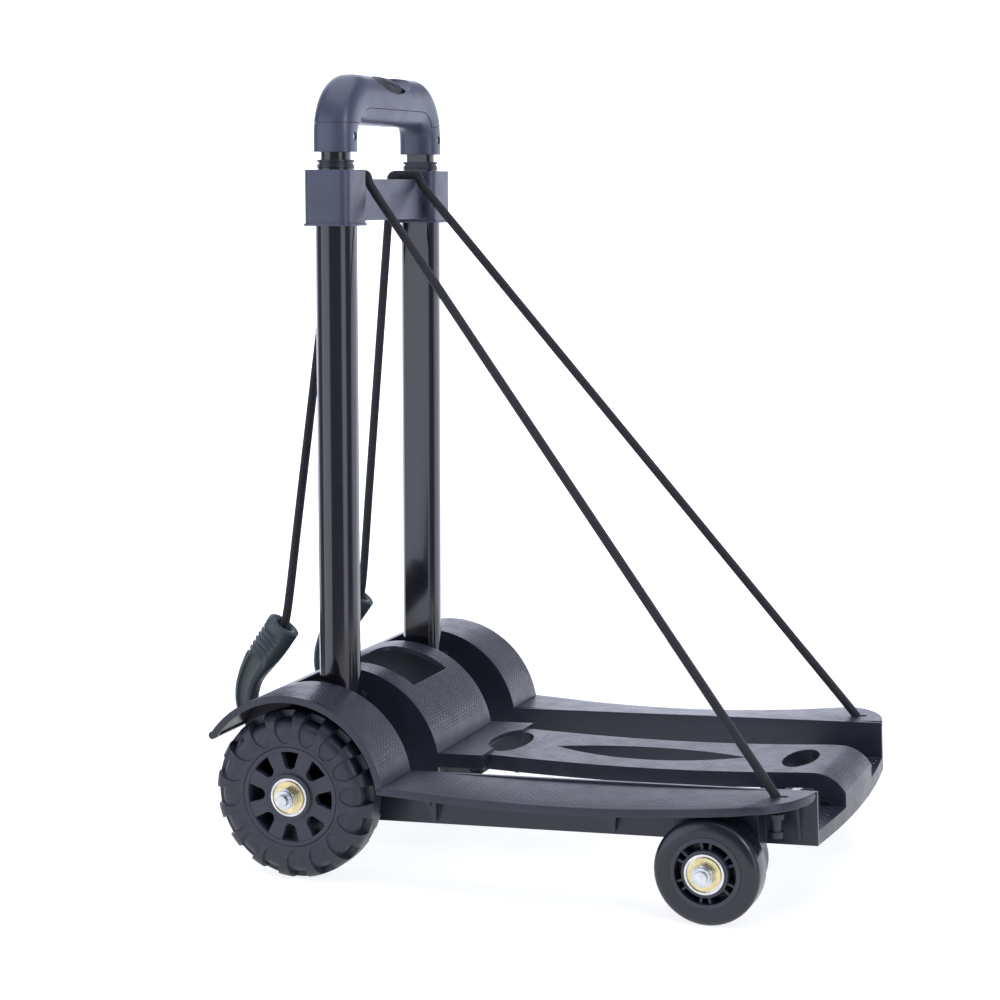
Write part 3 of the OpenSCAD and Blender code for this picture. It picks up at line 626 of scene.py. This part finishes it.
def lower_part(name, gap):
    """Space of the lower shell: the legs below the seam and the band under the grip."""
    legs = slab(name + "_legs", 110, 1, SEAM_Z - gap)
    band = slab(name + "_band", BAND_X - gap, 22, BAND_Z - gap)
    return legs, band


def screw_bore(x):
    outline = [(x + SCREW_R * math.cos(a), SCREW_Z + SCREW_R * math.sin(a))
               for a in np.linspace(0, math.tau, 33)[:-1]]
    return prism("bore", outline, "f", MAST_F + SCREW_SEAT_F, MAST_F + 30)


def shell(name, mesh, node):
    """One shell of the handle, in place of its CAD node."""
    points = [tuple(v.co) for v in mesh.vertices]
    faces = [tuple(p.vertices) for p in mesh.polygons]
    piece(name, points, faces, "stage_three", "handle_plastic", [node])


def handle():
    outer = grip_solid("outer", 0, GRIP_LOW)
    inset = grip_solid("inset", LOWER_INSET, GRIP_LOW + 0.01)
    inner = grip_solid("inner", WALL, WALL_LOW)
    hollow = thumb_hollow("hollow", 0)
    hollow_wall = thumb_hollow("hollow_wall", SCOOP_WALL)
    cavity = working_copy("cavity", carved(inner, ("DIFFERENCE", hollow_wall)))
    legs, band = lower_part("cut", 0)
    kept_legs, kept_band = lower_part("kept", SEAM_GAP)
    window = prism("window", round_outline(24.6, 8.5, 7.6, MAST_F + BUTTON_F), "z", 512, 545)
    upper = carved(outer, *[("DIFFERENCE", cut) for cut in (hollow, legs, band, window, cavity)])
    shell("grip_upper", upper, "handle_upper")
    region = working_copy("region", carved(kept_legs, ("UNION", kept_band)))
    bores = [("DIFFERENCE", screw_bore(x)) for x in (-MAST_X, MAST_X)]
    lower = carved(inset, ("INTERSECT", region), ("DIFFERENCE", cavity), *bores)
    shell("grip_lower", lower, "handle_lower")
    for made in [made for made in bpy.data.objects if made.get("working")]:
        bpy.data.objects.remove(made)


def thumb_ring(t, size=72, x_half=24.2, f_half=8.1):
    """A ring of the button's ribbed top, which slopes to the front, t of the way out from its middle."""
    row = []
    for k in range(size):
        x = t * x_half * squarish(math.cos(math.tau * k / size), 0.8)
        ahead = BUTTON_F + t * f_half * squarish(math.sin(math.tau * k / size), 0.8)
        rib = 0.3 * math.cos(x * math.tau / 2.6) * float(smooth((0.85 - t) * 6))
        slope = 10.5 * max(0.0, (ahead + 3) / 14.5) ** 2
        row.append((x, MAST_F + ahead, HANDLE_TOP + 0.4 - slope - 0.0025 * x * x - 1.0 * t ** 8 + rib))
    return row


def thumb_pad(rings=14, foot=515.0):
    """The release button: a ribbed pad crowned over the thumb hollow."""
    rows = [thumb_ring(j / rings) for j in range(1, rings + 1)]
    rows.append([(x, f, foot) for x, f, _ in rows[-1]])
    size, points = len(rows[0]), flat(rows)
    centre, middle = len(points), thumb_ring(0)[0]
    faces = skin(rows) + [(k, centre, (k + 1) % size) for k in range(size)]
    faces.append(ring(size, (len(rows) - 1) * size))
    points = [at(*p) for p in points + [middle]]
    piece("thumb_pad", points, faces, "button", "button_plastic", ["thumb_button"])


# ---- Cords, spring and hooks ----


def smooth_line(points, step):
    """Points about step apart along a Catmull-Rom curve through the given points."""
    p = np.array(points, float)
    p = np.vstack([2 * p[0] - p[1], p, 2 * p[-1] - p[-2]])
    out = []
    for i in range(1, len(p) - 2):
        count = max(2, int(np.linalg.norm(p[i + 1] - p[i]) / step))
        for t in np.arange(count) / count:
            a, b, c, d = p[i - 1], p[i], p[i + 1], p[i + 2]
            out.append(0.5 * (2 * b + (c - a) * t + (2 * a - 5 * b + 4 * c - d) * t * t
                              + (3 * b - a - 3 * c + d) * t ** 3))
    out.append(p[-2])
    return np.array(out)


def leads(line):
    """The direction at each point of a line, and the length of line up to it."""
    lead = np.gradient(line, axis=0)
    lead /= np.linalg.norm(lead, axis=1)[:, None]
    run = np.concatenate([[0], np.cumsum(np.linalg.norm(np.diff(line, axis=0), axis=1))])
    return lead, run


def between(a, b, shares):
    return [[a[k] + (b[k] - a[k]) * t for k in range(3)] for t in shares]


def wrap(made, run, size):
    """UV map of a cord: the length of cord in millimetres, and the turn round it."""
    layer = made.data.uv_layers.new(name="braid")
    for face in made.data.polygons:
        columns = [made.data.loops[i].vertex_index % size for i in face.loop_indices]
        wraps = len(face.loop_indices) == 4 and max(columns) - min(columns) > 1
        for i, column in zip(face.loop_indices, columns):
            row = made.data.loops[i].vertex_index // size
            layer.data[i].uv = (run[row], (column or (size if wraps else 0)) / size)


def cord(name, route, sign, radius, slot, replaces, size=20, across=(1, 0, 0)):
    """A round cord along its route, on the side that sign says. It never runs in the direction across."""
    line = smooth_line(route, 2.0)
    line[:, 0] *= sign
    lead, run = leads(line)
    side = np.cross(lead, across)
    side /= np.linalg.norm(side, axis=1)[:, None]
    other = np.cross(lead, side)
    turns = np.arange(size) * math.tau / size
    rows = [[at(*(p + radius * (a * math.cos(t) + b * math.sin(t)))) for t in turns]
            for p, a, b in zip(line, side, other)]
    made = piece(name, flat(rows), capped(rows), None, slot, replaces)
    wrap(made, run, size)
    return made


CORD_R = 3.0
NOSE_HOLE, BRIDGE_FRONT = [120, 321.6, 81], [46, 15.7, 459.5]
BRIDGE_REAR, HOOK_MOUTH = [46.4, -7.2, 458], [65, -40.5, 158]
FRONT_ROUTE = (
    [[120, 322.4, 66], [120, 322.4, 74], [120, 322.4, 79]]
    + between(NOSE_HOLE, BRIDGE_FRONT, [0.012, 0.15, 0.4, 0.65, 0.88, 0.985])
    + [[46, 15.7, 462], [46, 14.8, 464.4], [46, 12.4, 465.3], [46, 4.4, 465.3]])
REAR_ROUTE = (
    [[46, 4.4, 465.3], [46, -3.6, 465.3], [46, -6, 464.4], [46, -6.9, 462]]
    + between(BRIDGE_REAR, HOOK_MOUTH, [0.015, 0.25, 0.5, 0.75, 0.97])
    + [[65, -43.5, 152.5], [65, -50, 143.2]])


def cords():
    """Each cord as two fixed pieces that meet on the collar's bridge, running between mast and platform."""
    for side, sign in (("left", -1), ("right", 1)):
        front = cord("cord_front_" + side, FRONT_ROUTE, sign, CORD_R, "cord_fabric", ["cord_" + side])
        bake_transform(front)
        rear = cord("cord_rear_" + side, REAR_ROUTE, sign, CORD_R, "cord_fabric", [])
        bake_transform(rear)


SPRING_R, SPRING_WIRE, SPRING_TURNS = 3.6, 0.5, 4


def release_spring():
    """The coil under the release yoke, built at one fixed length and carried by the mast's top stage."""
    low, high = (c[2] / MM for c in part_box("button_spring"))
    turns = np.linspace(0, SPRING_TURNS * math.tau, 97)
    rise = (high - low - 2 * SPRING_WIRE) / turns[-1]
    coil = [(SPRING_R * math.cos(a), MAST_F + SPRING_R * math.sin(a), low + SPRING_WIRE + rise * a)
            for a in turns]
    made = cord(
        "release_spring", coil, 1, SPRING_WIRE, "pin_steel", ["button_spring"], size=10, across=(0, 0, 1))
    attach(made, "stage_three")
    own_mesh(made)


# Line of the hook from its mouth to its tip: f, z and half thickness.
HOOK_LINE = [
    (-41.8, 155.6, 12), (-49, 145.5, 12), (-56, 136, 11.6), (-62.5, 127, 10), (-68, 117.5, 8.4),
    (-71, 108, 7.6), (-71.6, 98, 6.8), (-69, 88.5, 5.8), (-63.4, 82, 5), (-56, 79.8, 4.4),
    (-49.8, 82.4, 3.8), (-46.6, 87.6, 3)]
HOOK_X = 65.0
BARREL_END, BARREL_HALF = 34, 9.0         # length of the barrel at the mouth, and its half width
RIBS_FROM, RIBS_TO, RIB_PITCH = 6, 33, 4.0


def hook_ring(place, lead, half, run, size=48):
    """One ring of the hook: a ribbed barrel at first, then a shank with a channel down each side."""
    barrel = float(smooth((BARREL_END - run) / 8))
    wide = BARREL_HALF * barrel + (4.6 + 0.35 * half) * (1 - barrel)
    power = 0.82 * barrel + 0.5 * (1 - barrel)
    ribbed = float(smooth((run - RIBS_FROM) / 1.5) * smooth((RIBS_TO - run) / 1.5))
    groove = (0.5 + 0.5 * math.cos((run - RIBS_FROM) * math.tau / RIB_PITCH)) * ribbed
    row = []
    for k in range(size):
        v = squarish(math.cos(math.tau * k / size), power)
        u = squarish(math.sin(math.tau * k / size), power)
        swell = 1 - 0.17 * (groove * float(smooth((0.5 + v) / 0.25)))
        channel = float(smooth((0.62 - abs(v)) / 0.2)) * (1 - barrel) * float(smooth((half - 3.4) / 2))
        x, offset = u * wide * swell * (1 - 0.3 * channel), v * half * swell
        row.append((x, place[0] + lead[1] * offset, place[1] - lead[0] * offset))
    return row


def shrunk(row, share):
    """A row drawn in towards its own middle."""
    centre = np.mean(row, axis=0)
    return [tuple(centre + (np.array(p) - centre) * share) for p in row]


def hook_rows():
    """Rings of a hook, from deep in its mouth over the lip and along the hook to its tip."""
    line = smooth_line(HOOK_LINE, 0.7)
    lead, run = leads(line[:, :2])
    mouth, half = line[0, :2].copy(), line[0, 2]
    rows = []
    for deep, share in ((9.0, 0.42), (5.0, 0.46), (1.2, 0.6), (0.25, 0.68)):
        row = hook_ring(mouth + lead[0] * deep, lead[0], half * share * 0.9, 0.0)
        rows.append([(x * share * 0.95, f, z) for x, f, z in row])
    rows += [shrunk(hook_ring(mouth, lead[0], half, 0.0), share) for share in (0.76, 0.9)]
    line[0, :2] += lead[0] * 0.8
    rows += [hook_ring(p[:2], direction, p[2], length) for p, direction, length in zip(line, lead, run)]
    tip, (df, dz) = rows[-1], lead[-1]
    for out, share in ((1.2, 0.85), (2.0, 0.55)):
        rows.append(shrunk([(x, f + df * out, z + dz * out) for x, f, z in tip], share))
    return rows


def hook(side, sign):
    rows = hook_rows()
    points = [at(sign * (HOOK_X + x), f, z) for x, f, z in flat(rows)]
    name, node = "cord_hook_" + side, "hook_" + side
    level_normals(piece(name, points, capped(rows), "base", "hook_plastic", [node], sharp=50).data)


# ---- Stage, light and camera ----

# The floor and the key light are in metres. The camera's place is x, f and z, in millimetres.
FLOOR_RADIUS, FLOOR_DROP = 0.75, 0.0004
KEY_PLACE, KEY_SIZE, KEY_POWER = (-1.5, -2.0, 1.5), 0.9, 16
CAMERA_PLACE = (-1509.6, 656.9, 456.6)
CAMERA_HEADING, CAMERA_PITCH = math.radians(69.54), math.radians(7.63)
LENS, SENSOR = 84.1, 36.0


def floor():
    """A plain pale disc of paper under the cart."""
    turns = np.linspace(0, math.tau, 97)[:-1]
    rim = [(FLOOR_RADIUS * math.cos(a), FLOOR_RADIUS * math.sin(a), 0) for a in turns]
    mesh = bpy.data.meshes.new("floor")
    mesh.from_pydata(rim, [], [ring(len(rim))])
    made = bpy.data.objects.new("floor", mesh)
    made.location.z = -FLOOR_DROP
    bpy.context.collection.objects.link(made)
    s = Shader("floor_paper")
    base = s.mix(s.noise(400, 2), (0.3, 0.305, 0.31, 1), (0.34, 0.345, 0.35, 1))
    normal = s.bump(s.noise(3.0), 0.02)
    s.finish(base, 0.85, normal, Emission_Color=(0.97, 0.98, 1.0, 1.0), Emission_Strength=0.85)
    mesh.materials.append(s.material)


def studio_sky():
    """Soft light all round. turn is 0 on the cart's left, 90 degrees at its back and -90 in front.

    Low down, the left is dim but for two bright panels, and the right is bright. Higher up there is a dim
    belt, and overhead it is bright.
    """
    world = bpy.data.worlds.new("studio")
    bpy.context.scene.world = world
    world.use_nodes = True
    s = Nodes(world.node_tree)
    x, y, z = s.node("SeparateXYZ", {0: s.node("TexCoord").outputs["Generated"]}).outputs
    turn = s.math("ARCTAN2", y, s.math("MULTIPLY", x, -1.0))
    wide = math.radians
    behind = s.within(turn, wide(120), wide(170), wide(6))
    high = s.times(s.remap(z, 0.09, 0.22), s.math("SUBTRACT", 1.0, behind))
    right = s.remap(s.math("ABSOLUTE", turn), wide(98), wide(114), 0.3, 1.75)
    level = s.times(right, s.math("MULTIPLY_ADD", high, -0.68, 1.0))
    front_panel = s.times(s.within(turn, wide(-70), wide(-52), wide(6)), 1.8)
    rear_panel = s.times(s.within(turn, wide(20), wide(68), wide(4)), 1.6)
    around = s.sum(level, front_panel, rear_panel)
    belt = s.remap(s.math("MULTIPLY_ADD", behind, -0.25, z), 0.36, 0.56)
    overhead = s.remap(z, 0.72, 0.85, 0.22, 1.9)
    sky = s.tree.nodes["Background"]
    dim = s.times(around, s.math("SUBTRACT", 1.0, belt))
    s.put(sky.inputs["Strength"], s.sum(dim, s.times(overhead, belt)))
    sky.inputs["Color"].default_value = (0.93, 0.955, 1.13, 1.0)


def aim(made, ahead):
    made.rotation_euler = ahead.to_track_quat("-Z", "Y").to_euler()


def key_light():
    """One soft square light in front of the cart, to its left and above."""
    light = bpy.data.lights.new("key", "AREA")
    light.size = KEY_SIZE
    light.energy = KEY_POWER
    light.color = (0.95, 0.97, 1.0)
    made = bpy.data.objects.new("key", light)
    made.location = KEY_PLACE
    bpy.context.collection.objects.link(made)
    aim(made, Vector(at(0, 120, 250)) - made.location)


def camera():
    """The camera where the photograph was taken from."""
    data = bpy.data.cameras.new("camera")
    data.lens, data.sensor_width = LENS, SENSOR
    data.clip_start, data.clip_end = 0.05, 50
    made = bpy.data.objects.new("camera", data)
    bpy.context.collection.objects.link(made)
    bpy.context.scene.camera = made
    made.location = at(*CAMERA_PLACE)
    level, drop = math.cos(CAMERA_PITCH), math.sin(CAMERA_PITCH)
    aim(made, Vector((math.sin(CAMERA_HEADING) * level, math.cos(CAMERA_HEADING) * level, -drop)))


floor()
studio_sky()
key_light()
bpy.context.scene.view_settings.view_transform = "Standard"
camera()
dress_cad()
cords()
rear_tyre("left", -1)
rear_tyre("right", 1)
handle()
thumb_pad()
release_spring()
hook("left", -1)
hook("right", 1)
